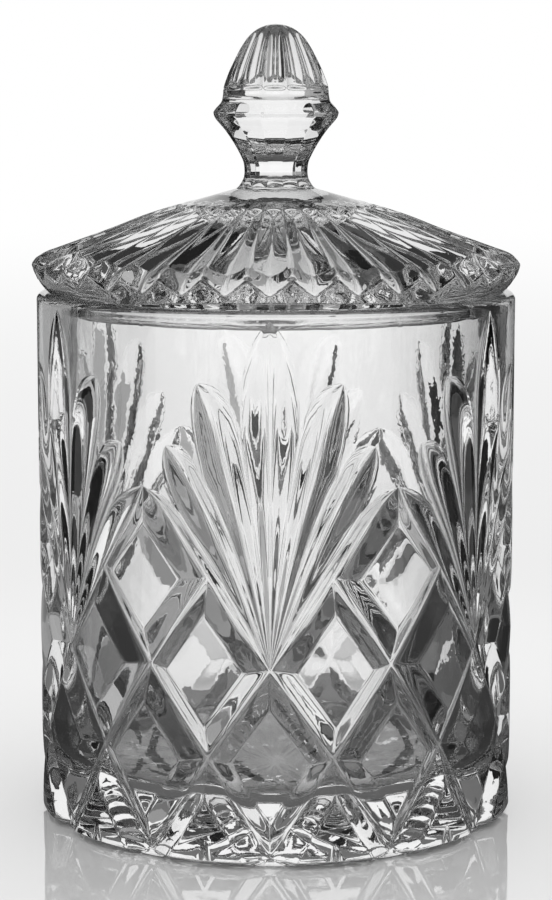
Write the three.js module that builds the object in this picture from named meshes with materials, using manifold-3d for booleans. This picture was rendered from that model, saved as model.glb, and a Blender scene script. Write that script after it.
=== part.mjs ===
// Candy jar of clear cut-pattern glass: a straight-sided jar body under a loose lid with a knob.
// Millimetres, Z up. The origin is the centre of the jar's foot; azimuth zero faces the front, -Y.
import * as THREE from 'three';
import { mergeVertices } from 'three/addons/utils/BufferGeometryUtils.js';
import Module from 'manifold-3d';

const wasm = await Module();
wasm.setup();

// Driving dimensions of the jar body
const bodyRadius = 60.3;
const bodyHeight = 132.7;
const wallThickness = 6.5;
const floorThickness = 14;
const floorFillet = 7;
const rimRound = 1.6;
const footInset = 3.4;

// Heights of the rows where the cut lines cross, from the foot up
const footRowHeight = 1.8;
const lowerRowHeight = 25.8;
const originRowHeight = 47.8;
const upperRowHeight = 69.6;
const peakRowHeight = 91;

// The V-shaped cuts in the wall, and the star cut in the underside
const cutDepth = 3;
const cutHalfWidth = 5.2;
const starRadius = 46;
const starHubRadius = 5;
const starDepth = 2.6;

// Driving dimensions of the lid
const lidOverhang = 1.1;
const lidRise = 22.6;
const lidThickness = 5.6;
const collarRadius = 20;
const seatGap = 0.3;
const plugClearance = 0.8;
const plugDepth = 5;
const plugThickness = 4.4;
const plugRound = 1.2;
const fluteDepth = 2.6;

// Driving dimensions of the knob
const knobRadius = 15.65;
const knobHeight = 40.8;
const knobFootRise = 25.4;
const knobRoot = 4;
const scoopDepth = 1;

// How far a cutting shape runs out past the face that it opens
const overrun = 1;

// Corners nearer than this share of the body's radius are one corner
const mergeShare = 1e-6;

// Counts, and how finely the round shapes are faceted
const fanCount = 6;
const cutSteps = 3;
const starRays = 24;
const lidFlutes = 36;
const knobFacets = 14;
const facetSteps = 4;
const roundSteps = 3;
const wallColumns = 72;

const fullTurn = 2 * Math.PI;
const quarterTurn = fullTurn / 4;
const halfFan = fullTurn / fanCount / 2;
const quarterFan = halfFan / 2;
const innerRadius = bodyRadius - wallThickness;
const wallTop = bodyHeight - rimRound;
const seatHeight = bodyHeight + seatGap;
const lidRadius = bodyRadius + lidOverhang;
const plugRadius = innerRadius - plugClearance;

// Leaf tips, the notches between leaves and the shoulders that each leaf edge bends over:
// shares of half a fan across, and of the height from the fan's origin to the rim
const leafTipShares = [[0, 0.975], [0.546, 0.804], [0.8, 0.625]];
const notchShares = [[0.217, 0.655], [0.505, 0.541], [0.685, 0.442]];
const outerShoulderShares = [[0.231, 0.865], [0.625, 0.728], [0.858, 0.557]];
const innerShoulderShares = [[0.309, 0.8], [0.628, 0.641], [0.818, 0.503]];

// Rows across a leaf's length, and where its cut starts to run out, as shares of that length
const leafRowShares = [0, 1 / 6, 1 / 3, 1 / 2, 2 / 3, 5 / 6, 0.94, 1];
const runOutShare = 0.78;

// Star rows: share of the run from hub to tip, then depths at a ray and between two rays
// as shares of the star's depth. Below zero is clear of the underside.
const starRowShares = [[0, 0.35, 0.35], [0.4, 1, 0.15], [0.7, 0.75, -0.2], [1, 0, -0.2]];

// Lid rows from the seat's outer edge in to the collar: share of the run from collar to edge,
// share of the lid's rise, then how far a flute goes in and down as shares of its depth.
// The dome ends and the shoulder begins at the dome edge.
const domeEdgeShare = 0.535;
const lidRowShares = [
  [0.903, 0, 0, 0], [0.942, 0.066, 0, 0], [0.981, 0.137, 0, 0], [1, 0.239, 0.19, 0.77],
  [1, 0.305, 0.54, 0.73], [0.964, 0.394, 0.65, 0.85], [0.744, domeEdgeShare, 0.31, 0.96],
  [0.529, 0.677, 0.27, 0.96], [0.333, 0.819, 0.23, 0.85], [0.133, 0.934, 0.08, 0.38],
  [0, 1, 0, 0],
];

// Knob rows from its foot up: shares of its radius and height, then how much of the flat
// facets and of the hollow scoops each row has
const knobRowShares = [
  [0.645, 0, 0, 0], [0.588, 0.02, 0, 0], [0.515, 0.07, 1, 0], [0.511, 0.14, 1, 0],
  [0.556, 0.194, 1, 0], [0.677, 0.279, 1, 0], [0.818, 0.358, 1, 0], [0.965, 0.424, 1, 0],
  [1, 0.463, 1, 0], [0.933, 0.505, 0.5, 0], [0.856, 0.539, 0, 0], [0.843, 0.59, 0, 0],
  [0.824, 0.635, 0, 1], [0.741, 0.718, 0, 1], [0.632, 0.804, 0, 1], [0.54, 0.875, 0, 0.8],
  [0.5, 0.905, 0, 0], [0.351, 0.958, 0, 0], [0.169, 0.987, 0, 0], [0, 1, 0, 0],
];

const glass = new THREE.MeshStandardMaterial({
  color: 0xe9eeee, roughness: 0.03, metalness: 0, flatShading: true,
});

function mix(from, to, share) {
  return from.map((value, i) => value + (to[i] - value) * share);
}

// A closed solid from a geometry: shared corners merged and collapsed triangles left out
function solidFrom(geometry) {
  geometry.deleteAttribute('normal');
  geometry.deleteAttribute('uv');
  const merged = mergeVertices(geometry, bodyRadius * mergeShare);
  const corners = merged.index.array;
  const kept = [];
  for (let i = 0; i < corners.length; i += 3) {
    const [a, b, c] = corners.slice(i, i + 3);
    if (a !== b && b !== c && c !== a) kept.push(a, b, c);
  }
  return new wasm.Manifold(new wasm.Mesh({
    numProp: 3,
    vertProperties: new Float32Array(merged.attributes.position.array),
    triVerts: new Uint32Array(kept),
  }));
}

// The finished mesh of a solid, under the name of its piece
function meshFrom(solid, name) {
  const { vertProperties, triVerts } = solid.getMesh();
  const geometry = new THREE.BufferGeometry();
  geometry.setAttribute('position', new THREE.BufferAttribute(vertProperties, 3));
  geometry.setIndex(new THREE.BufferAttribute(triVerts, 1));
  geometry.computeVertexNormals();
  const mesh = new THREE.Mesh(geometry, glass);
  mesh.name = name;
  return mesh;
}

// A solid turned about Z whose rows may change round the axis: placeAt gives the radius and
// height of a row at an azimuth. Rows run from the lowest point on the axis to the highest.
function turnedSolid(rowCount, columns, placeAt) {
  const blank = Array.from({ length: rowCount }, (_, row) => new THREE.Vector2(row, row));
  const geometry = new THREE.LatheGeometry(blank, columns);
  const position = geometry.attributes.position;
  for (let i = 0; i < position.count; i += 1) {
    const azimuth = Math.floor(i / rowCount) % columns * fullTurn / columns;
    const [radius, height] = placeAt(i % rowCount, azimuth);
    position.setXYZ(i, radius * Math.sin(azimuth), -radius * Math.cos(azimuth), height);
  }
  return solidFrom(geometry);
}

// Points of a quarter round about a centre, turning by sense from its start angle
function quarterRound(radius, height, size, start, sense) {
  const points = [];
  for (let i = 0; i <= roundSteps; i += 1) {
    const angle = start + sense * quarterTurn * i / roundSteps;
    points.push([radius + size * Math.cos(angle), height + size * Math.sin(angle)]);
  }
  return points;
}

// How far an azimuth is from the middle of its own face, of several faces round the axis:
// zero in the middle, one at the corner
function offMiddle(azimuth, faces) {
  const face = fullTurn / faces;
  const turns = azimuth / face;
  return Math.abs(turns - Math.round(turns)) * 2;
}

// How deep a leaf's cut is at a share of its way from the origin to its tip
function leafDepth(share) {
  const past = Math.max(0, share - runOutShare) / (1 - runOutShare);
  return cutDepth * Math.sqrt(1 - past * past);
}

// A place in the fan from its shares across and up
function fanPlace([across, up]) {
  return [across * halfFan, originRowHeight + up * (bodyHeight - originRowHeight)];
}

// Places on the wall are [azimuth, height, depth below the uncut wall]. The crossings of the
// cut lines in half a fan, which the other half mirrors:
const origin = [0, originRowHeight];
const flank = [quarterFan, upperRowHeight];
const peak = [halfFan, peakRowHeight];
const side = [halfFan, originRowHeight];
const lower = [quarterFan, lowerRowHeight];
const footMiddle = [0, footRowHeight];
const footSide = [halfFan, footRowHeight];

// The fan's border line, which runs from the origin over the flank to the peak
function borderPlace(share) {
  return share < 1 / 2 ? mix(origin, flank, 2 * share) : mix(flank, peak, 2 * share - 1);
}

// The share of the way out from a diamond's centre that stays raised between its cut lines
const diamondAcross = quarterFan * bodyRadius;
const diamondUp = originRowHeight - lowerRowHeight;
const centreToCut = diamondAcross * diamondUp / Math.hypot(diamondAcross, diamondUp);
const raisedShare = 1 - cutHalfWidth / centreToCut;

// A strip of wall between two rows of places, the first row below the second
function strip(triangles, below, above) {
  for (let i = 0; i + 1 < below.length; i += 1) {
    triangles.push([below[i], below[i + 1], above[i + 1]], [below[i], above[i + 1], above[i]]);
  }
}

// A quarter of a diamond: its raised face and the slope down to the cut line, which runs
// anticlockwise about the centre
function quarterDiamond(triangles, centre, from, to, shares, depthAt) {
  const cutLine = shares.map((share) => [...mix(from, to, share), depthAt(share)]);
  const faceEdge = cutLine.map((place) => [...mix(centre, place, raisedShare), 0]);
  const middle = faceEdge.map(() => [...centre, 0]);
  strip(triangles, cutLine, faceEdge);
  strip(triangles, faceEdge, middle);
}

// The diamonds of half a fan, down to the row at the foot
function addDiamonds(triangles) {
  const even = Array.from({ length: cutSteps + 1 }, (_, i) => i / cutSteps);
  const full = () => cutDepth;
  const quarters = [
    [[0, lowerRowHeight], lower, origin], [[0, lowerRowHeight], footMiddle, lower],
    [[halfFan, lowerRowHeight], side, lower], [[halfFan, lowerRowHeight], lower, footSide],
    [[quarterFan, originRowHeight], side, flank], [[quarterFan, originRowHeight], flank, origin],
    [[quarterFan, originRowHeight], origin, lower], [[quarterFan, originRowHeight], lower, side],
    [[halfFan, upperRowHeight], flank, side],
    [[quarterFan, footRowHeight], footSide, lower], [[quarterFan, footRowHeight], lower, footMiddle],
  ];
  for (const [centre, from, to] of quarters) {
    quarterDiamond(triangles, centre, from, to, even, full);
  }
  const fromPeak = leafRowShares.filter((share) => share >= 1 / 2).map((share) => 2 - 2 * share);
  const borderDepth = (share) => leafDepth(1 - share / 2);
  quarterDiamond(triangles, [halfFan, upperRowHeight], peak, flank, fromPeak.reverse(), borderDepth);
}

// The leaves of half a fan and the smooth wall above them. Spokes run out from the origin:
// a leaf's middle, its edge, the notch, the next leaf's edge and its middle, and so on.
function addLeaves(triangles) {
  const tips = [...leafTipShares.map(fanPlace), peak];
  const spokes = [{ end: tips[0], middle: 1 }];
  notchShares.map(fanPlace).forEach((notch, i) => {
    const shoulders = [fanPlace(outerShoulderShares[i]), fanPlace(innerShoulderShares[i])];
    const stops = [tips[i], notch, tips[i + 1]];
    shoulders.forEach((shoulder, half) => {
      const points = [stops[half], shoulder, stops[half + 1]].map((p) => new THREE.Vector2(...p));
      const bend = new THREE.QuadraticBezierCurve(...points).getPoint(1 / 2);
      spokes.push({ end: bend.toArray(), middle: 1 / 2 }, { end: stops[half + 1], middle: half });
    });
  });
  const rowAt = (share) => spokes.map(({ end, middle }, i) => {
    const place = i + 1 < spokes.length ? mix(origin, end, share) : borderPlace(share);
    const ridgeDepth = cutDepth * (1 - share);
    return [...place, ridgeDepth + (leafDepth(share) - ridgeDepth) * middle];
  });
  const half = (spokes.length - 1) / 2;
  const upright = [halfFan, wallTop];
  const outer = spokes.map((_, i) => {
    const end = i < half ? mix([0, wallTop], upright, i / half) : mix(upright, peak, i / half - 1);
    return [...end, 0];
  });
  const rows = leafRowShares.map(rowAt);
  const edge = rows[rows.length - 1];
  rows.push(edge.map((place, i) => mix(place, outer[i], 1 / 2)), outer);
  for (let i = 0; i + 1 < rows.length; i += 1) strip(triangles, rows[i], rows[i + 1]);
}

// The rim over the wall and the foot under it, both closed to the axis
function addEnds(triangles) {
  const columns = wallColumns / fanCount / 2;
  const centre = [quarterFan, footRowHeight];
  const foot = [
    [...footMiddle, cutDepth], [...mix(centre, footMiddle, raisedShare), 0], [...centre, 0],
    [...mix(centre, footSide, raisedShare), 0], [...footSide, cutDepth],
  ];
  const ground = foot.map(([azimuth]) => [azimuth, 0, footInset]);
  strip(triangles, ground, foot);
  strip(triangles, ground.map(([azimuth]) => [azimuth, 0, bodyRadius]), ground);
  const azimuths = Array.from({ length: columns + 1 }, (_, i) => i * halfFan / columns);
  const rounds = quarterRound(bodyRadius - rimRound, wallTop, rimRound, 0, 1);
  const rings = [...rounds, [0, bodyHeight]].map(
    ([radius, height]) => azimuths.map((azimuth) => [azimuth, height, bodyRadius - radius]),
  );
  for (let i = 0; i + 1 < rings.length; i += 1) strip(triangles, rings[i], rings[i + 1]);
}

// The body before it is hollowed: the half fan, its mirror image, and their turns
function cutBlock() {
  const triangles = [];
  addDiamonds(triangles);
  addLeaves(triangles);
  addEnds(triangles);
  const corners = [];
  for (let fan = 0; fan < fanCount; fan += 1) {
    for (const sense of [1, -1]) {
      for (const triangle of triangles) {
        const turned = triangle.map(([azimuth, height, depth]) => {
          const angle = fan * 2 * halfFan + sense * azimuth;
          const radius = bodyRadius - depth;
          return [radius * Math.sin(angle), -radius * Math.cos(angle), height];
        });
        if (sense < 0) turned.reverse();
        corners.push(...turned.flat());
      }
    }
  }
  const geometry = new THREE.BufferGeometry();
  geometry.setAttribute('position', new THREE.Float32BufferAttribute(corners, 3));
  return solidFrom(geometry);
}

// The inside of the jar, with a rounded floor corner and a flared mouth
function hollow() {
  const filletRadius = innerRadius - floorFillet;
  const mouthRadius = innerRadius + rimRound;
  const profile = [
    [0, floorThickness],
    ...quarterRound(filletRadius, floorThickness + floorFillet, floorFillet, -quarterTurn, 1),
    ...quarterRound(mouthRadius, wallTop, rimRound, 2 * quarterTurn, -1),
    [mouthRadius, bodyHeight + overrun],
    [0, bodyHeight + overrun],
  ];
  return turnedSolid(profile.length, wallColumns, (row) => profile[row]);
}

// The shape of the star that is cut up into the underside
function star() {
  const run = starRadius - starHubRadius;
  const rows = starRowShares.map(([along, ray, between]) => [starHubRadius + along * run, ray, between]);
  const hub = [0, ...starRowShares[0].slice(1)];
  const upper = [...rows.reverse(), hub];
  return turnedSolid(upper.length + 2, 2 * starRays, (row, azimuth) => {
    if (row < 2) return [row * starRadius, -overrun];
    const [radius, ray, between] = upper[row - 2];
    const depth = ray + (between - ray) * offMiddle(azimuth, starRays);
    return [radius, depth * starDepth];
  });
}

// The lid's shell: a hollow underside, the plug that drops into the jar's mouth, the seat,
// and a fluted top that rises to a smooth collar
function lidShell() {
  const plugInner = plugRadius - plugThickness;
  const plugFoot = seatHeight - plugDepth + plugRound;
  const crown = seatHeight + lidRise - lidThickness;
  const shelf = seatHeight + lidRise * domeEdgeShare - fluteDepth - lidThickness;
  const underside = [
    [0, crown],
    [collarRadius, crown],
    [plugInner, shelf],
    ...quarterRound(plugInner + plugRound, plugFoot, plugRound, 2 * quarterTurn, 1),
    ...quarterRound(plugRadius - plugRound, plugFoot, plugRound, -quarterTurn, 1),
    [plugRadius, seatHeight],
  ];
  const run = lidRadius - collarRadius;
  const top = lidRowShares.map(([along, up, inward, down]) => [
    collarRadius + along * run, seatHeight + up * lidRise, inward * fluteDepth, down * fluteDepth,
  ]);
  const rows = [...underside, ...top, [0, seatHeight + knobFootRise]];
  return turnedSolid(rows.length, 2 * lidFlutes, (row, azimuth) => {
    const [radius, height, inward = 0, down = 0] = rows[row];
    const cut = 1 - offMiddle(azimuth, lidFlutes);
    return [radius - cut * inward, height - cut * down];
  });
}

// The knob: a flat-faceted stem and belt under a scooped acorn with a smooth cap
function knob() {
  const foot = seatHeight + knobFootRise;
  const [footShare] = knobRowShares[0];
  const root = [[0, foot - knobRoot, 0, 0], [footShare * knobRadius, foot - knobRoot, 0, 0]];
  const shaped = knobRowShares.map(([out, up, facet, scoop]) => [
    out * knobRadius, foot + up * knobHeight, facet, scoop,
  ]);
  const rows = [...root, ...shaped];
  const halfFace = fullTurn / knobFacets / 2;
  return turnedSolid(rows.length, knobFacets * facetSteps, (row, azimuth) => {
    const [radius, height, facet, scoop] = rows[row];
    const off = offMiddle(azimuth, knobFacets);
    const flat = Math.cos(halfFace) / Math.cos(off * halfFace);
    const faceted = radius * (1 + (flat - 1) * facet);
    return [faceted - scoopDepth * scoop * (1 - off * off), height];
  });
}

const jar = new THREE.Group();
jar.add(meshFrom(cutBlock().subtract(hollow()).subtract(star()), 'jar_body'));
jar.add(meshFrom(lidShell().add(knob()), 'lid'));

export default jar;
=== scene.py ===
# Candy jar of clear cut-pattern glass: a straight-sided jar body under a loose lid with a knob.
import math

import bmesh
import bpy
from mathutils import Matrix, Vector


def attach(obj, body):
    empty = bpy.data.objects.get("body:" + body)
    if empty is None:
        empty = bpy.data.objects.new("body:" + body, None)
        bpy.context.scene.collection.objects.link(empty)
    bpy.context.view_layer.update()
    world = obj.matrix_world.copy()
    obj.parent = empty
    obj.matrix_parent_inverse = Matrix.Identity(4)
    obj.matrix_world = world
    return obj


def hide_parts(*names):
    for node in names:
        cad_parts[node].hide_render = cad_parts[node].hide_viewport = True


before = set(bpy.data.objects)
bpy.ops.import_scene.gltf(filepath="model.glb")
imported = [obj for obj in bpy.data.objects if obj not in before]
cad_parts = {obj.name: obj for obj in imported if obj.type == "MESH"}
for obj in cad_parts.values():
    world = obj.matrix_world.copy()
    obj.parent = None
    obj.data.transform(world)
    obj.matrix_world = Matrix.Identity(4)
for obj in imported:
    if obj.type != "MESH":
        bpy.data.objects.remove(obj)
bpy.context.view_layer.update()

# The jar's shapes are made in millimetres and brought to metres when a piece is finished.
# Points closer than SAME_POINT are merged, and points closer than ON_ROW to a row are on it.
MM = 0.001
FULL_TURN = 2 * math.pi
SAME_POINT = 0.0006
ON_ROW = 1e-4

# Jar body
BODY_RADIUS = 60.3
BODY_HEIGHT = 132.7
INNER_RADIUS = 53.8
FLOOR_HEIGHT = 14
FLOOR_FILLET = 7
RIM_ROUND = 1.6
WALL_TOP = BODY_HEIGHT - RIM_ROUND
FOOT_INSET = 3.4
BEVEL_ROWS = 3
# Rows of points down the inside and in over its floor
INSIDE_HEIGHTS = [WALL_TOP - 1, 115, 92, 68, 45, 24]
INSIDE_RADII = [INNER_RADIUS - FLOOR_FILLET - 1, 30, 12, 0]

# Rows where the cut lines cross, from the foot up
FOOT_ROW = 1.8
LOWER_ROW = 25.8
ORIGIN_ROW = 47.8
UPPER_ROW = 69.6
PEAK_ROW = 91

# Cuts in the wall. The shares are of the way from a cut line in to a diamond's centre.
FANS = 6
HALF_FAN = FULL_TURN / FANS / 2
QUARTER_FAN = HALF_FAN / 2
CUT_DEPTH = 3
RAISED_SHARE = 0.595
GROOVE_ROUND = 0.03
EDGE_ROUND = 0.045
HIP_ROUND = 0.03
CENTRE_FADE = 0.4

# How much of a slope is straight, the rest being a soft wave
CUT_STRAIGHT = 0.5
LEAF_STRAIGHT = 0.35

# Leaves: the shares of their half width that are rounded at the middle line and at the edge,
# the small step that rings them, and how round their tips are
CREASE_ROUND = 0.1
RIDGE_ROUND = 0.06
LIP_DEPTH = 0.38
LIP_REACH = 0.3
LIP_RISE = 8
LIP_FALL = 12
TIP_ROUND = 0.28

# Star in the underside. Its rows go from the hub out: the share of the way, then the shares of
# the depth on a ray and between two rays.
STAR_RAYS = 24
STAR_RADIUS = 46
STAR_HUB = 5
STAR_DEPTH = 1.1
STAR_ROWS = [(0, 0.35, 0.35), (0.4, 1, 0.15), (0.7, 0.75, 0), (1, 0, 0)]
STAR_STEPS = 12

# Lid. A flute is gathered towards its middle and its edges, and rounded there.
LID_STEPS = 504
LID_FLUTES = 36
SEAT_HEIGHT = BODY_HEIGHT + 0.3
COLLAR_RADIUS = 20
COLLAR_HEIGHT = 22.6
FLUTE_GATHER = 0.6
FLUTE_MIDDLE_ROUND = 0.12
FLUTE_EDGE_ROUND = 0.1
FLUTE_STRAIGHT = 0.9

# The lid's inside, from its crown down to the shelf by the plug, and the plug
LID_THICKNESS = 5.6
CROWN = SEAT_HEIGHT + COLLAR_HEIGHT - LID_THICKNESS
SHELF = SEAT_HEIGHT + 3.891
PLUG_RADIUS = 53
PLUG_INNER = 48.6
PLUG_FOOT = SEAT_HEIGHT - 5
PLUG_ROUND = 1.2

# Knob
KNOB_FACETS = 14
KNOB_FOOT = SEAT_HEIGHT + 25.4
KNOB_RADIUS = 15.65
KNOB_HEIGHT = 40.8
SCOOP_DEPTH = 2.4


def mix(start, end, share):
    """The point a share of the way from the start to the end, value by value."""
    return [a + (b - a) * share for a, b in zip(start, end)]


def bend(points, share):
    """A point of the curve from the first point to the last, pulled towards the middle one."""
    start, pull, end = points
    return mix(mix(start, pull, share), mix(pull, end, share), share)


def round_point(azimuth, radius, height):
    """A point from its azimuth, counted from the front, its radius and its height."""
    return Vector((radius * math.sin(azimuth), -radius * math.cos(azimuth), height))


def wall_point(place, depth):
    """A point of the jar's wall, at a place (azimuth, height) and a depth into the uncut wall."""
    return round_point(place[0], BODY_RADIUS - depth, place[1])


def panel(shell, columns, rows, place):
    """A patch of a shell: a grid, each of whose points goes to place(column, row)."""
    grid = bmesh.ops.create_grid(shell, x_segments=columns, y_segments=rows, size=1)
    for point in grid["verts"]:
        column = round((point.co.x + 1) / 2 * columns)
        row = round((point.co.y + 1) / 2 * rows)
        point.co = place(column, row)


def turned(shell, steps, rows, place):
    """A surface wrapped once round the axis, whose points go to place(row, azimuth)."""
    panel(shell, steps, rows - 1,
          lambda column, row: place(row, column % steps * FULL_TURN / steps))


def off_middle(azimuth, faces):
    """How far an azimuth is from the middle of its own face: zero there, one at the corner."""
    turns = azimuth / FULL_TURN * faces
    return abs(turns - round(turns)) * 2


def gathered(azimuth, faces, pull):
    """An azimuth drawn towards the nearest middle or corner of a face."""
    return azimuth - pull * math.sin(azimuth * faces * 2) / (faces * 2)


def quarter_round(radius, height, size, start, sense, steps):
    """Points of a quarter round about a centre."""
    angles = [start + sense * math.pi / 2 * i / steps for i in range(steps + 1)]
    return [(radius + size * math.cos(a), height + size * math.sin(a)) for a in angles]


# Where the rows of points lie, as shares along a cut, from a cut line to a diamond's centre,
# from a leaf's middle line to its edge, and from the leaves up the plain wall. They are closest
# together where the surface bends.
ALONG_CUT = [0, 0.012, 0.03, 0.06, 0.11, 0.18, 0.27, 0.38, 0.5,
             0.62, 0.73, 0.82, 0.89, 0.94, 0.97, 0.988, 1]
FROM_CUT = [0, 0.012, 0.026, 0.042, 0.065, 0.11, 0.22, 0.32, 0.36,
            0.383, 0.405, 0.427, 0.45, 0.5, 0.62, 0.8, 1]
ACROSS_LEAF = [0, 0.03, 0.07, 0.12, 0.18, 0.25, 0.33, 0.42,
               0.52, 0.62, 0.72, 0.8, 0.87, 0.925, 0.96, 1]
WALL_ROWS = [0, 0.01, 0.03, 0.07, 0.13, 0.2, 0.3, 0.4, 0.5, 0.6, 0.72, 0.86, 1]


def fan_place(shares):
    """A place in the fan from its shares across half a fan and up from its origin to the rim."""
    return [shares[0] * HALF_FAN, ORIGIN_ROW + shares[1] * (BODY_HEIGHT - ORIGIN_ROW)]


# The corners of the diamonds, as azimuths and heights in half a fan
ORIGIN = [0, ORIGIN_ROW]
FLANK = [QUARTER_FAN, UPPER_ROW]
PEAK = [HALF_FAN, PEAK_ROW]
SIDE = [HALF_FAN, ORIGIN_ROW]
LOWER = [QUARTER_FAN, LOWER_ROW]
FOOT_MIDDLE = [0, FOOT_ROW]
FOOT_SIDE = [HALF_FAN, FOOT_ROW]

# Leaves from the fan's middle to its side, as shares: tips, the pull of their bent middle lines,
# how far along their cut runs out
LEAF_TIPS = [(0, 0.978), (0.546, 0.804), (0.8, 0.625)]
LEAF_PULLS = [(0, 0.5), (0.22, 0.44), (0.33, 0.36)]
RUN_OUTS = [0.7, 0.8, 0.76, 0.83]
# The ridges between leaves, the notches where they end and the shoulders of the outlines there
NOTCHES = [(0.217, 0.655), (0.505, 0.541), (0.685, 0.442)]
RIDGE_PULLS = [(0.1, 0.4), (0.27, 0.39), (0.42, 0.29)]
OUTER_SHOULDERS = [(0.231, 0.865), (0.625, 0.728), (0.858, 0.557)]
INNER_SHOULDERS = [(0.309, 0.8), (0.628, 0.641), (0.818, 0.503)]

# Each half leaf and the notch that its edge runs to
HALF_LEAVES = [(0, 0), (1, 0), (1, 1), (2, 1), (2, 2), (3, 2)]

LEAF_ROWS = [share / 2 for share in ALONG_CUT] + [0.5 + share / 2 for share in ALONG_CUT[1:]]
# The row where a leaf's edge leaves its ridge at the notch
NOTCH_ROW = 24
NOTCH_SHARE = LEAF_ROWS[NOTCH_ROW]


def run_out(share, start):
    """The cut's depth at a share of its length, where it runs out past the start share."""
    past = max(0, share - start) / (1 - start)
    return CUT_DEPTH * (1 - past * past)


def border_depth(share):
    """The depth of the cut along the fan's straight border."""
    return run_out(share, RUN_OUTS[3])


def hollowed(share, straight):
    """A run from zero to one that is partly straight and partly a soft wave, steepest halfway."""
    return straight * share + (1 - straight) * (1 - math.cos(math.pi * share)) / 2


def eased(share, low, high):
    """A straight run from zero to one whose two ends are rounded over these shares."""
    if share < low:
        reach = share * share / (2 * low)
    elif share > 1 - high:
        reach = 1 - low / 2 - high / 2 - (1 - share) ** 2 / (2 * high)
    else:
        reach = share - low / 2
    return reach / (1 - low / 2 - high / 2)


def corner_round(share):
    """How much a corner of a diamond is rounded over, fading away from it."""
    return (math.sqrt(4 * share * share + HIP_ROUND * HIP_ROUND) - 2 * share) / 2


def groove(along, inward):
    """The share of the cut's depth, along a cut line between two crossings and inward from it."""
    off_cut = inward - corner_round(along * (1 - inward)) - corner_round((1 - along) * (1 - inward))
    off_cut = math.sqrt(off_cut * off_cut + GROOVE_ROUND * GROOVE_ROUND)
    slope = 1 - off_cut / (1 - RAISED_SHARE)
    slope = (slope + math.sqrt(slope * slope + EDGE_ROUND * EDGE_ROUND)) / 2
    fade = min(1, (1 - inward) / CENTRE_FADE)
    return fade * hollowed(slope, CUT_STRAIGHT)


def quarter_diamond(shell, centre, start, end, depth_at):
    """A quarter of a raised diamond, from the cut line between two corners in to its centre."""
    def place(column, row):
        along, inward = ALONG_CUT[column], FROM_CUT[row]
        cut_line = mix(start, end, along)
        return wall_point(mix(cut_line, centre, inward), depth_at(along) * groove(along, inward))
    panel(shell, len(ALONG_CUT) - 1, len(FROM_CUT) - 1, place)


def diamonds(shell):
    """All the quarter diamonds of half a fan."""
    def full(along):
        return CUT_DEPTH

    def towards_peak(along):
        return border_depth(1 - along / 2)

    for centre, start, end in [
        ([0, LOWER_ROW], LOWER, ORIGIN), ([0, LOWER_ROW], FOOT_MIDDLE, LOWER),
        ([HALF_FAN, LOWER_ROW], SIDE, LOWER), ([HALF_FAN, LOWER_ROW], LOWER, FOOT_SIDE),
        ([QUARTER_FAN, ORIGIN_ROW], SIDE, FLANK), ([QUARTER_FAN, ORIGIN_ROW], FLANK, ORIGIN),
        ([QUARTER_FAN, ORIGIN_ROW], ORIGIN, LOWER), ([QUARTER_FAN, ORIGIN_ROW], LOWER, SIDE),
        ([HALF_FAN, UPPER_ROW], FLANK, SIDE),
        ([QUARTER_FAN, FOOT_ROW], FOOT_SIDE, LOWER), ([QUARTER_FAN, FOOT_ROW], LOWER, FOOT_MIDDLE),
    ]:
        quarter_diamond(shell, centre, start, end, full)
    quarter_diamond(shell, [HALF_FAN, UPPER_ROW], PEAK, FLANK, towards_peak)


def middle_line(leaf, share):
    """A place on a leaf's middle line; the fourth leaf's is the fan's straight border."""
    if leaf < 3:
        return bend([ORIGIN, fan_place(LEAF_PULLS[leaf]), fan_place(LEAF_TIPS[leaf])], share)
    if share < 0.5:
        return mix(ORIGIN, FLANK, 2 * share)
    return mix(FLANK, PEAK, 2 * share - 1)


def round_tip(outline, before):
    """The outline's last pull, held off the leaf's middle so that the tip comes out round."""
    shoulder, tip = outline[1:]
    along = Vector(((tip[0] - before[0]) * BODY_RADIUS, tip[1] - before[1])).normalized()
    off = Vector(((shoulder[0] - tip[0]) * BODY_RADIUS, shoulder[1] - tip[1]))
    off -= off.dot(along) * along
    pull = mix(tip, shoulder, 2 / 3)
    return [pull[0] + TIP_ROUND * off.x / BODY_RADIUS, pull[1] + TIP_ROUND * off.y]


def leaf_edge(leaf, notch, row):
    """A place on a leaf's edge and its depth: up the ridge to a notch, then round to the tip."""
    share = LEAF_ROWS[row]
    if row <= NOTCH_ROW:
        part = share / NOTCH_SHARE
        ridge = [ORIGIN, fan_place(RIDGE_PULLS[notch]), fan_place(NOTCHES[notch])]
        return bend(ridge, part), CUT_DEPTH * groove(0, 0) * (1 - part)
    part = (share - NOTCH_SHARE) / (1 - NOTCH_SHARE)
    shoulders = OUTER_SHOULDERS if leaf == notch else INNER_SHOULDERS
    outline = [fan_place(NOTCHES[notch]), fan_place(shoulders[notch]), middle_line(leaf, 1)]
    if leaf < 3:
        first = mix(outline[0], outline[1], 2 / 3)
        tip = round_tip(outline, middle_line(leaf, 0.9))
        lower = bend([outline[0], first, tip], part)
        return mix(lower, bend([first, tip, outline[2]], part), part), 0
    return bend(outline, part), 0


def lip(share, across):
    """The depth of the small step that rings a leaf's outline, gone at its notch and its tip."""
    inward = (1 - across) / (1 - ACROSS_LEAF[-2])
    step = min(inward, max(0, 1 - (inward - 1) * (1 - ACROSS_LEAF[-2]) / LIP_REACH))
    ends = min(1, max(0, share - NOTCH_SHARE) * LIP_RISE, (1 - share) * LIP_FALL)
    return LIP_DEPTH * step * ends


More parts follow.
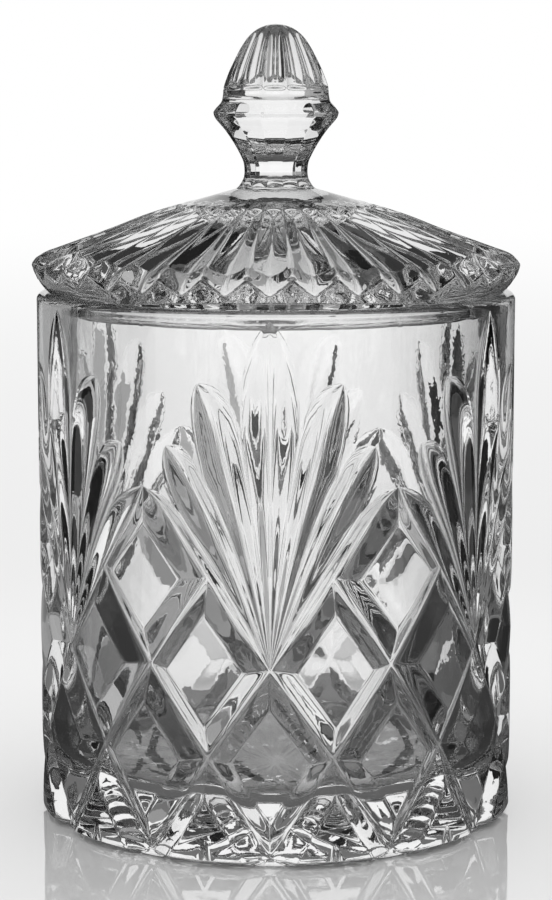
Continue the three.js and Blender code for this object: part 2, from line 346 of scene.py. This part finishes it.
def half_leaf(shell, leaf, notch):
    """Half a leaf, from its middle line to the edge that it shares with the next one."""
    def place(column, row):
        share, across = LEAF_ROWS[row], ACROSS_LEAF[column]
        edge, edge_depth = leaf_edge(leaf, notch, row)
        along = 0 if leaf < 3 else 2 * share % 1
        middle_depth = run_out(share, RUN_OUTS[leaf]) * groove(along, 0)
        slope = hollowed(eased(across, CREASE_ROUND, RIDGE_ROUND), LEAF_STRAIGHT)
        depth = middle_depth + (edge_depth - middle_depth) * slope
        return wall_point(mix(middle_line(leaf, share), edge, across), depth + lip(share, across))
    panel(shell, len(ACROSS_LEAF) - 1, len(LEAF_ROWS) - 1, place)


def upper_wall(shell):
    """The plain wall above the leaves, out to the rim and the fan's side; gives the rim's steps."""
    edge = [leaf_edge(0, 0, len(LEAF_ROWS) - 1)[0]]
    for leaf, notch in HALF_LEAVES:
        rows = range(NOTCH_ROW, len(LEAF_ROWS))
        if leaf == notch:
            rows = reversed(rows)
        edge += [leaf_edge(leaf, notch, row)[0] for row in rows][1:]
    half = (len(edge) - 1) // 2
    corner = [HALF_FAN, WALL_TOP]
    frame_line = [mix([0, WALL_TOP], corner, i / half) for i in range(half)]
    frame_line += [mix(corner, PEAK, i / half) for i in range(half + 1)]

    def place(column, row):
        return wall_point(mix(edge[column], frame_line[column], WALL_ROWS[row]), 0)
    panel(shell, 2 * half, len(WALL_ROWS) - 1, place)
    return half * 2 * FANS


def finish_mesh(shell, name, body, node, material):
    """The finished piece: doubles merged, faces outwards, in metres, riding on its body."""
    bmesh.ops.remove_doubles(shell, verts=shell.verts, dist=SAME_POINT)
    bmesh.ops.dissolve_degenerate(shell, edges=shell.edges, dist=SAME_POINT / 4)
    bmesh.ops.recalc_face_normals(shell, faces=shell.faces)
    bmesh.ops.scale(shell, vec=(MM, MM, MM), verts=shell.verts)
    for face in shell.faces:
        face.smooth = True
    mesh = bpy.data.meshes.new(name)
    shell.to_mesh(mesh)
    shell.free()
    mesh.materials.append(material)
    piece = bpy.data.objects.new(name, mesh)
    bpy.context.scene.collection.objects.link(piece)
    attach(piece, body)
    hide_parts(node)


def star_depth(radius, azimuth):
    """The depth of the star in the underside, none outside its rays."""
    along = max(0, radius - STAR_HUB) / (STAR_RADIUS - STAR_HUB)
    off = off_middle(azimuth, STAR_RAYS)
    for low_row, high_row in zip(STAR_ROWS, STAR_ROWS[1:]):
        if along <= high_row[0]:
            part = (along - low_row[0]) / (high_row[0] - low_row[0])
            ray, between = mix(low_row[1:], high_row[1:], part)
            return STAR_DEPTH * (ray + (between - ray) * off)
    return 0


def jar_shell():
    """The jar: one half fan of the wall, mirrored and repeated, then the inside and the star."""
    shell = bmesh.new()
    diamonds(shell)
    for leaf, notch in HALF_LEAVES:
        half_leaf(shell, leaf, notch)
    rim_steps = upper_wall(shell)

    # The bevel under the lowest cuts
    foot_columns = [s / 2 for s in FROM_CUT] + [1 - s / 2 for s in reversed(FROM_CUT[:-1])]
    foot_depths = {}
    for point in shell.verts:
        if abs(point.co.z - FOOT_ROW) < ON_ROW:
            azimuth = math.atan2(point.co.x, -point.co.y)
            radius = math.hypot(point.co.x, point.co.y)
            foot_depths[round(azimuth / HALF_FAN, 4)] = BODY_RADIUS - radius

    def foot_place(column, row):
        share = foot_columns[column]
        depth = foot_depths[round(share, 4)]
        even = column / (len(foot_columns) - 1)
        part = row / BEVEL_ROWS
        azimuth = (share + (even - share) * part) * HALF_FAN
        return wall_point([azimuth, FOOT_ROW * (1 - part)], depth + (FOOT_INSET - depth) * part)
    panel(shell, len(foot_columns) - 1, BEVEL_ROWS, foot_place)

    half_fan = shell.verts[:] + shell.edges[:] + shell.faces[:]
    bmesh.ops.mirror(shell, geom=half_fan, matrix=Matrix.Identity(4), axis="X",
                     merge_dist=SAME_POINT)
    one_fan = shell.verts[:] + shell.edges[:] + shell.faces[:]
    for turn in range(1, FANS):
        copy = bmesh.ops.duplicate(shell, geom=one_fan)["geom"]
        points = [item for item in copy if isinstance(item, bmesh.types.BMVert)]
        bmesh.ops.rotate(shell, cent=(0, 0, 0), verts=points,
                         matrix=Matrix.Rotation(turn * 2 * HALF_FAN, 3, "Z"))

    # Over the rim and down the inside
    inside = quarter_round(BODY_RADIUS - RIM_ROUND, WALL_TOP, RIM_ROUND, 0, 1, 5)
    inside += quarter_round(INNER_RADIUS + RIM_ROUND, WALL_TOP, RIM_ROUND, math.pi / 2, 1, 5)
    inside += [(INNER_RADIUS, height) for height in INSIDE_HEIGHTS]
    inside += quarter_round(INNER_RADIUS - FLOOR_FILLET, FLOOR_HEIGHT + FLOOR_FILLET,
                            FLOOR_FILLET, 0, -1, 7)
    inside += [(radius, FLOOR_HEIGHT) for radius in INSIDE_RADII]
    turned(shell, rim_steps, len(inside),
           lambda row, azimuth: round_point(azimuth, *inside[row]))

    # The underside with its star
    foot_steps = (len(foot_columns) - 1) * 2 * FANS
    under = [BODY_RADIUS - FOOT_INSET, STAR_RADIUS + 1]
    under += [STAR_HUB + (STAR_RADIUS - STAR_HUB) * step / STAR_STEPS
              for step in range(STAR_STEPS, -1, -1)]
    under += [0]
    turned(shell, foot_steps, len(under),
           lambda row, azimuth: round_point(azimuth, under[row], star_depth(under[row], azimuth)))
    return shell


# The lid's profile from the seat's outer edge up to the collar: radius, height over the seat,
# then how far a flute goes in and down
LID_EDGE = [
    (57.4, 0, 0, 0), (58.6, 1.2, 0.55, 0.56), (59.8, 2.8, 1, 1.32), (60.8, 4.6, 1.3, 2.16),
    (61.3, 6.1, 1.33, 2.87), (61.4, 6.5, 1.27, 3.06), (61.35, 6.8, 1.27, 3.1),
    (61.1, 7.35, 1.3, 3.05), (60.2, 8.4, 1.3, 2.8), (58.6, 9.3, 1.05, 2.4),
    (56.5, 10.05, 0.85, 2), (53.7, 11.05, 0.75, 1.75), (50.8, 12.1, 0.7, 1.7),
    (41.9, 15.3, 0.6, 1.7), (33.8, 18.5, 0.5, 1.6), (28, 20.4, 0.4, 1.5),
    (25.2, 21.2, 0.3, 1.3), (23.6, 21.6, 0, 0), (COLLAR_RADIUS, COLLAR_HEIGHT, 0, 0),
]
# Knob rows from its foot up: shares of its radius and height, then how much of the flat facets
# and of the hollow flutes each row has
KNOB_EDGE = [
    (0.645, 0, 0, 0), (0.588, 0.02, 0, 0), (0.515, 0.07, 1, 0), (0.511, 0.14, 1, 0),
    (0.556, 0.194, 1, 0), (0.677, 0.279, 1, 0), (0.818, 0.358, 1, 0), (0.965, 0.424, 1, 0),
    (1, 0.458, 1, 0), (0.99, 0.475, 1, 0), (0.925, 0.507, 0.6, 0), (0.868, 0.535, 0, 0),
    (0.848, 0.575, 0, 0), (0.838, 0.606, 0, 0), (0.83, 0.625, 0, 0.95), (0.8, 0.66, 0, 1),
    (0.741, 0.718, 0, 1), (0.632, 0.804, 0, 1), (0.54, 0.868, 0, 1), (0.43, 0.926, 0, 0.9),
    (0.3, 0.967, 0, 0.7), (0.15, 0.992, 0, 0.3), (0, 1, 0, 0),
]


def smoothed(rows, steps):
    """More rows between the given ones, along a smooth curve through them."""
    full = [rows[0], *rows, rows[-1]]
    result = []
    for before, start, end, after in zip(full, full[1:], full[2:], full[3:]):
        for i in range(steps):
            t = i / steps
            result.append([
                0.5 * (2 * b + (c - a) * t + (2 * a - 5 * b + 4 * c - d) * t * t
                       + (3 * b - a - 3 * c + d) * t ** 3)
                for a, b, c, d in zip(before, start, end, after)])
    return [*result, list(rows[-1])]


def lid_shell():
    """The lid in one shell: its inside, the plug, the fluted top, the collar and the knob."""
    shell = bmesh.new()
    top = [("lid", row) for row in smoothed(LID_EDGE, 5)]
    knob = [("knob", row) for row in smoothed(KNOB_EDGE, 4)]
    underside = [(0, CROWN), (8, CROWN), (COLLAR_RADIUS - 1, CROWN), (COLLAR_RADIUS, CROWN),
                 (30, CROWN + (SHELF - CROWN) * 0.35), (40, CROWN + (SHELF - CROWN) * 0.7),
                 (PLUG_INNER - 0.5, SHELF + 0.1), (PLUG_INNER, SHELF - 0.3)]
    for radius, start in ((PLUG_INNER + PLUG_ROUND, math.pi),
                          (PLUG_RADIUS - PLUG_ROUND, -math.pi / 2)):
        underside += quarter_round(radius, PLUG_FOOT + PLUG_ROUND, PLUG_ROUND, start, 1, 4)
    underside += [(PLUG_RADIUS, SEAT_HEIGHT - 0.4), (PLUG_RADIUS + 0.2, SEAT_HEIGHT)]
    rows = [("plain", row) for row in underside] + top + knob

    def place(row, azimuth):
        kind, values = rows[row]
        if kind == "plain":
            return round_point(azimuth, *values)
        if kind == "lid":
            azimuth = gathered(azimuth, LID_FLUTES, FLUTE_GATHER)
            radius, height, inward, down = values
            off = eased(off_middle(azimuth, LID_FLUTES), FLUTE_MIDDLE_ROUND, FLUTE_EDGE_ROUND)
            cut = 1 - (FLUTE_STRAIGHT * off + (1 - FLUTE_STRAIGHT) * off * off)
            return round_point(azimuth, radius - cut * inward, SEAT_HEIGHT + height - cut * down)
        out, up, facet, scoop = values
        off = off_middle(azimuth, KNOB_FACETS)
        half_face = FULL_TURN / KNOB_FACETS / 2
        flat = math.cos(half_face) / math.cos(off * half_face)
        radius = out * KNOB_RADIUS * (1 + (flat - 1) * facet)
        radius -= SCOOP_DEPTH * scoop * out * (1 - off * off)
        return round_point(azimuth, max(0, radius), KNOB_FOOT + up * KNOB_HEIGHT)
    turned(shell, LID_STEPS, len(rows), place)
    return shell


# Glass: its refraction, how clear its dimmest spots are, and the painted shade, a grey that darkens
# its colour where it is seen edge on
CRYSTAL_IOR = 1.53
LEAST_CLEAR = 0.97
EDGE_SHADE_RISE = 1.6
PAINTED_EDGE_SHADE = (0.045, 0.05, 0.052, 1)
# Mould marks: waves and ripples to the metre, their roughness, and how high on a wave the haze
# starts and is full
WAVE_SCALE = 90
RIPPLE_SCALE = 420
MARK_ROUGHNESS = 0.45
HAZE_START = 0.45
HAZE_FULL = 0.75


def pressed_surface():
    """The skin that a mould leaves on glass: slow waves, fine ripples and an uneven polish."""
    group = bpy.data.node_groups.new("pressed_surface", "ShaderNodeTree")
    for name, value in [("Wave Scale", WAVE_SCALE), ("Wave Height", 0),
                        ("Ripple Scale", RIPPLE_SCALE), ("Ripple Height", 0),
                        ("Polish", 0), ("Haze", 0)]:
        socket = group.interface.new_socket(name, in_out="INPUT", socket_type="NodeSocketFloat")
        socket.default_value = value
    group.interface.new_socket("Normal", in_out="OUTPUT", socket_type="NodeSocketVector")
    group.interface.new_socket("Roughness", in_out="OUTPUT", socket_type="NodeSocketFloat")
    group.interface.new_socket("Clearness", in_out="OUTPUT", socket_type="NodeSocketColor")
    nodes, links = group.nodes, group.links
    inside = nodes.new("NodeGroupInput")
    outside = nodes.new("NodeGroupOutput")
    where = nodes.new("ShaderNodeTexCoord")

    def noise(scale, detail):
        node = nodes.new("ShaderNodeTexNoise")
        node.inputs["Detail"].default_value = detail
        node.inputs["Roughness"].default_value = MARK_ROUGHNESS
        links.new(where.outputs["Object"], node.inputs["Vector"])
        links.new(inside.outputs[scale], node.inputs["Scale"])
        return node.outputs["Fac"]

    def sum_of(first, first_size, second, second_size):
        """Two heights added, each in its own size."""
        scaled = []
        for height, size in ((first, first_size), (second, second_size)):
            node = nodes.new("ShaderNodeMath")
            node.operation = "MULTIPLY"
            links.new(height, node.inputs[0])
            links.new(inside.outputs[size], node.inputs[1])
            scaled.append(node.outputs["Value"])
        total = nodes.new("ShaderNodeMath")
        links.new(scaled[0], total.inputs[0])
        links.new(scaled[1], total.inputs[1])
        return total.outputs["Value"]

    waves = noise("Wave Scale", 1)
    ripples = noise("Ripple Scale", 2)
    bump = nodes.new("ShaderNodeBump")
    bump.inputs["Strength"].default_value = 1
    bump.inputs["Distance"].default_value = MM
    links.new(sum_of(waves, "Wave Height", ripples, "Ripple Height"), bump.inputs["Height"])
    links.new(bump.outputs["Normal"], outside.inputs["Normal"])

    haze = nodes.new("ShaderNodeMapRange")
    links.new(waves, haze.inputs["Value"])
    haze.inputs["From Min"].default_value = HAZE_START
    haze.inputs["From Max"].default_value = HAZE_FULL
    links.new(inside.outputs["Polish"], haze.inputs["To Min"])
    links.new(inside.outputs["Haze"], haze.inputs["To Max"])
    links.new(haze.outputs["Result"], outside.inputs["Roughness"])

    clearness = nodes.new("ShaderNodeMapRange")
    links.new(ripples, clearness.inputs["Value"])
    clearness.inputs["To Min"].default_value = LEAST_CLEAR
    clearness.inputs["To Max"].default_value = 1
    links.new(clearness.outputs["Result"], outside.inputs["Clearness"])
    return group


def clear_glass(name, skin_group, wave_height, ripple_height, haze):
    """Clear crystal: waved by its mould, with shade painted into its colour where it is seen edge
    on.
    """
    material = bpy.data.materials.new(name)
    material.use_nodes = True
    nodes, links = material.node_tree.nodes, material.node_tree.links
    shader = nodes["Principled BSDF"]
    shader.inputs["IOR"].default_value = CRYSTAL_IOR
    shader.inputs["Transmission Weight"].default_value = 1
    skin = nodes.new("ShaderNodeGroup")
    skin.node_tree = skin_group
    skin.inputs["Wave Height"].default_value = wave_height
    skin.inputs["Ripple Height"].default_value = ripple_height
    skin.inputs["Haze"].default_value = haze
    links.new(skin.outputs["Normal"], shader.inputs["Normal"])
    links.new(skin.outputs["Roughness"], shader.inputs["Roughness"])
    facing = nodes.new("ShaderNodeLayerWeight")
    facing.inputs["Blend"].default_value = 0.5
    rise = nodes.new("ShaderNodeMath")
    rise.operation = "POWER"
    rise.inputs[1].default_value = EDGE_SHADE_RISE
    # Painted shade: the glass's colour turns to a dark grey where it is seen edge on
    depth = nodes.new("ShaderNodeMix")
    depth.data_type = "RGBA"
    depth.inputs["B"].default_value = PAINTED_EDGE_SHADE
    links.new(facing.outputs["Facing"], rise.inputs[0])
    links.new(rise.outputs["Value"], depth.inputs["Factor"])
    links.new(skin.outputs["Clearness"], depth.inputs["A"])
    links.new(depth.outputs["Result"], shader.inputs["Base Color"])
    return material


mould_skin = pressed_surface()
body_glass = clear_glass("body_glass", mould_skin, wave_height=0.1, ripple_height=0.014, haze=0.02)
lid_glass = clear_glass("lid_glass", mould_skin, wave_height=0.03, ripple_height=0.012, haze=0.03)

finish_mesh(jar_shell(), "jar_cut_wall", "jar", "jar_body", body_glass)
finish_mesh(lid_shell(), "lid_fluted", "lid", "lid", lid_glass)

# Camera, in metres, radians and the lens's millimetres
CAMERA_AZIMUTH = math.radians(1.4)
CAMERA_DISTANCE = 0.6442
CAMERA_HEIGHT = 0.18815
CAMERA_PITCH = math.radians(8.496)
LENS = 102.1
SENSOR_WIDTH = 36
NEAREST = 0.01

scene = bpy.context.scene
camera_data = bpy.data.cameras.new("camera")
camera_data.lens = LENS
camera_data.sensor_width = SENSOR_WIDTH
camera_data.clip_start = NEAREST
camera = bpy.data.objects.new("camera", camera_data)
scene.collection.objects.link(camera)
camera.location = (CAMERA_DISTANCE * math.sin(CAMERA_AZIMUTH),
                   -CAMERA_DISTANCE * math.cos(CAMERA_AZIMUTH), CAMERA_HEIGHT)
camera.rotation_euler = (math.pi / 2 - CAMERA_PITCH, 0, CAMERA_AZIMUTH)
scene.camera = camera

# Floor, in metres, with a gap under the jar. Its tone and its shine change between two distances
# from the jar: start, end, the value up to the start and the value past the end.
FLOOR_RINGS = [0, 0.1, 0.3, 1, 4, 25]
FLOOR_STEPS = 96
FLOOR_GAP = 0.0001
FLOOR_ROUGHNESS = 0.5
FLOOR_TONE = (0.2, 2.5, 0.86, 1)
SHINE_FADE = (0.12, 0.36, 1, 0)
SHINE_ROUGHNESS = 0.03
SHINE_RISE = 3

# Studio cards: how far out they stand, their steps, and where those round the foot start
SKY_REACH = 3
SKY_STEPS = 8
TABLE_STEPS = 24
NEAR = 0.064

# Cards in the sky on both sides of the bright window behind the jar: azimuths from straight
# behind the jar and heights over the horizon in degrees, then the levels right and left
SKY_CARDS = [
    ("over_window", (0, 34), (31, 60), 0.07, 0.07),
    ("beside_window", (34, 78), (0, 60), 0.01, 0.01),
    ("side", (78, 104), (15, 60), 0.01, 0.01),
    ("low_side", (78, 104), (0, 15), 0.01, 0.5),
    ("front", (104, 150), (0, 27), 0.14, 0.14),
    ("over_front", (104, 150), (27, 60), 0.02, 0.02),
    ("behind_camera", (150, 180), (0, 60), 0.02, 0.02),
]
# Cards on the table that glow with painted floor shade for the glass to show: azimuths in degrees,
# distances from the jar's axis, levels right and left
FLOOR_SHADE_CARDS = [
    ("near_back", (0, 25), (NEAR, 0.1), 0.18, 0.18),
    ("near_back_side", (25, 60), (NEAR, 0.13), 0.22, 0.34),
    ("near_side", (60, 120), (NEAR, 0.13), 0.05, 0.05),
    ("near_front", (120, 180), (NEAR, 0.2), 0.04, 0.04),
    ("beside_back", (25, 60), (0.13, 0.2), 0.15, 0.24),
    ("side", (60, 120), (0.13, 0.4), 0.04, 0.04),
    ("far_side_back", (60, 78), (0.4, SKY_REACH), 0.04, 0.04),
    ("far_side_front", (104, 120), (0.4, SKY_REACH), 0.04, 0.04),
]
# The window's edges and the table before them, dark only in the reflections at the glass's outline
EDGE_AZIMUTHS = (13, 34)
EDGE_HEIGHTS = (0, 31)
EDGE_TABLE_AZIMUTHS = (13, 25)
EDGE_TABLE_RADII = (0.2, SKY_REACH)
EDGE_LEVEL = 0.02


def stage_piece(name, shell, material):
    """A piece that is there for the picture only."""
    mesh = bpy.data.meshes.new(name)
    shell.to_mesh(mesh)
    shell.free()
    mesh.materials.append(material)
    piece = bpy.data.objects.new(name, mesh)
    scene.collection.objects.link(piece)
    return piece


def painted_glow_material(name, level, one_sided):
    """A studio card's one grey glow, painted light and shade that shows in the glass and its
    reflections; a one-sided card shows it only on its upper side.
    """
    material = bpy.data.materials.new(name)
    material.use_nodes = True
    nodes, links = material.node_tree.nodes, material.node_tree.links
    nodes.clear()
    emission = nodes.new("ShaderNodeEmission")
    emission.inputs["Color"].default_value = (level, level, level, 1)
    output = nodes.new("ShaderNodeOutputMaterial")
    links.new(emission.outputs["Emission"], output.inputs["Surface"])
    if one_sided:
        side = nodes.new("ShaderNodeNewGeometry")
        clear = nodes.new("ShaderNodeBsdfTransparent")
        both = nodes.new("ShaderNodeMixShader")
        links.new(side.outputs["Backfacing"], both.inputs["Fac"])
        links.new(emission.outputs["Emission"], both.inputs[1])
        links.new(clear.outputs["BSDF"], both.inputs[2])
        links.new(both.outputs["Shader"], output.inputs["Surface"])
    return material


def card(name, shell, level, one_sided=False, through_glass=True):
    """A studio card whose glow paints light and shade that shows in the glass and its reflections,
    or in reflections alone.
    """
    piece = stage_piece(name, shell, painted_glow_material(name, level, one_sided))
    piece.visible_transmission = through_glass
    piece.visible_camera = False
    piece.visible_diffuse = False
    piece.visible_shadow = False


def sky_card(name, azimuths, heights, level, through_glass=True):
    """A card far out, between two azimuths and two heights over the horizon, in degrees."""
    shell = bmesh.new()

    def place(column, row):
        azimuth, height = [math.radians(a + (b - a) * i / SKY_STEPS)
                           for (a, b), i in ((azimuths, column), (heights, row))]
        return SKY_REACH * Vector((math.sin(azimuth) * math.cos(height),
                                   math.cos(azimuth) * math.cos(height), math.sin(height)))
    panel(shell, SKY_STEPS, SKY_STEPS, place)
    card(f"card_{name}", shell, level, through_glass=through_glass)


def floor_shade_card(name, azimuths, radii, level, through_glass=True):
    """A card that lies on the floor and glows with painted floor shade for the glass, between two
    azimuths in degrees and two distances.
    """
    shell = bmesh.new()

    def place(column, row):
        azimuth = azimuths[0] + (azimuths[1] - azimuths[0]) * column / TABLE_STEPS
        azimuth, radius = math.radians(azimuth), radii[row]
        return Vector((radius * math.sin(azimuth), radius * math.cos(azimuth), -FLOOR_GAP / 2))
    panel(shell, TABLE_STEPS, 1, place)
    for face in shell.faces:
        face.normal_update()
        if face.normal.z < 0:
            face.normal_flip()
    card(f"card_floor_shade_{name}", shell, level, one_sided=True, through_glass=through_glass)


def floor_material():
    """A pale floor, shiny near the jar, and the more so the lower one looks along it."""
    material = bpy.data.materials.new("floor")
    material.use_nodes = True
    nodes, links = material.node_tree.nodes, material.node_tree.links
    where = nodes.new("ShaderNodeTexCoord")
    distance = nodes.new("ShaderNodeVectorMath")
    distance.operation = "LENGTH"
    links.new(where.outputs["Object"], distance.inputs[0])

    def by_distance(start, end, near, far):
        """A value that runs from the near one to the far one between two distances."""
        node = nodes.new("ShaderNodeMapRange")
        node.interpolation_type = "SMOOTHSTEP"
        links.new(distance.outputs["Value"], node.inputs["Value"])
        for name, value in (("From Min", start), ("From Max", end),
                            ("To Min", near), ("To Max", far)):
            node.inputs[name].default_value = value
        return node.outputs["Result"]

    matt = nodes["Principled BSDF"]
    matt.inputs["Roughness"].default_value = FLOOR_ROUGHNESS
    matt.inputs["Specular IOR Level"].default_value = 0
    links.new(by_distance(*FLOOR_TONE), matt.inputs["Base Color"])
    gloss = nodes.new("ShaderNodeBsdfGlossy")
    gloss.inputs["Color"].default_value = (1, 1, 1, 1)
    gloss.inputs["Roughness"].default_value = SHINE_ROUGHNESS
    facing = nodes.new("ShaderNodeLayerWeight")
    facing.inputs["Blend"].default_value = 0.5
    rise = nodes.new("ShaderNodeMath")
    rise.operation = "POWER"
    rise.inputs[1].default_value = SHINE_RISE
    shine = nodes.new("ShaderNodeMath")
    shine.operation = "MULTIPLY"
    both = nodes.new("ShaderNodeMixShader")
    links.new(facing.outputs["Facing"], rise.inputs[0])
    links.new(rise.outputs["Value"], shine.inputs[0])
    links.new(by_distance(*SHINE_FADE), shine.inputs[1])
    links.new(shine.outputs["Value"], both.inputs["Fac"])
    links.new(matt.outputs["BSDF"], both.inputs[1])
    links.new(gloss.outputs["BSDF"], both.inputs[2])
    links.new(both.outputs["Shader"], nodes["Material Output"].inputs["Surface"])
    return material


for side, sense in (("right", 1), ("left", -1)):
    for name, azimuths, heights, right, left in SKY_CARDS:
        sky_card(f"{name}_{side}", [sense * a for a in azimuths], heights,
                 right if sense > 0 else left)
    for name, azimuths, radii, right, left in FLOOR_SHADE_CARDS:
        floor_shade_card(f"{name}_{side}", [sense * a for a in azimuths], radii,
                   right if sense > 0 else left)
    sky_card(f"window_edge_{side}", [sense * a for a in EDGE_AZIMUTHS], EDGE_HEIGHTS,
             EDGE_LEVEL, through_glass=False)
    floor_shade_card(f"window_edge_{side}", [sense * a for a in EDGE_TABLE_AZIMUTHS], EDGE_TABLE_RADII,
               EDGE_LEVEL, through_glass=False)
# Cards that stand on one side only, then the painted shadow under the jar's foot and the card
# overhead
floor_shade_card("far_right", (25, 60), (0.2, SKY_REACH), 0.03)
floor_shade_card("far_left", (-25, -60), (0.2, SKY_REACH), 0.43)
floor_shade_card("far_side_right", (78, 104), (0.4, SKY_REACH), 0.04)
# Painted shadow: a dark card under the jar's foot that the glass shows
floor_shade_card("under", (0, 360), (FLOOR_GAP, NEAR), 0.13)
sky_card("top", (-180, 180), (60, 90), 0.35)

floor_shell = bmesh.new()
turned(floor_shell, FLOOR_STEPS, len(FLOOR_RINGS),
       lambda row, azimuth: round_point(azimuth, FLOOR_RINGS[row], -FLOOR_GAP))
bmesh.ops.remove_doubles(floor_shell, verts=floor_shell.verts, dist=FLOOR_GAP)
bmesh.ops.recalc_face_normals(floor_shell, faces=floor_shell.faces)
stage_piece("floor", floor_shell, floor_material())

# An even white studio, and bounces enough for light that goes back and forth in cut glass
world = bpy.data.worlds.new("studio")
scene.world = world
world.use_nodes = True
background = world.node_tree.nodes["Background"]
background.inputs["Color"].default_value = (1, 1, 1, 1)
background.inputs["Strength"].default_value = 1
scene.cycles.max_bounces = 32
scene.cycles.transmission_bounces = 32
scene.cycles.glossy_bounces = 12
scene.view_settings.view_transform = "Standard"
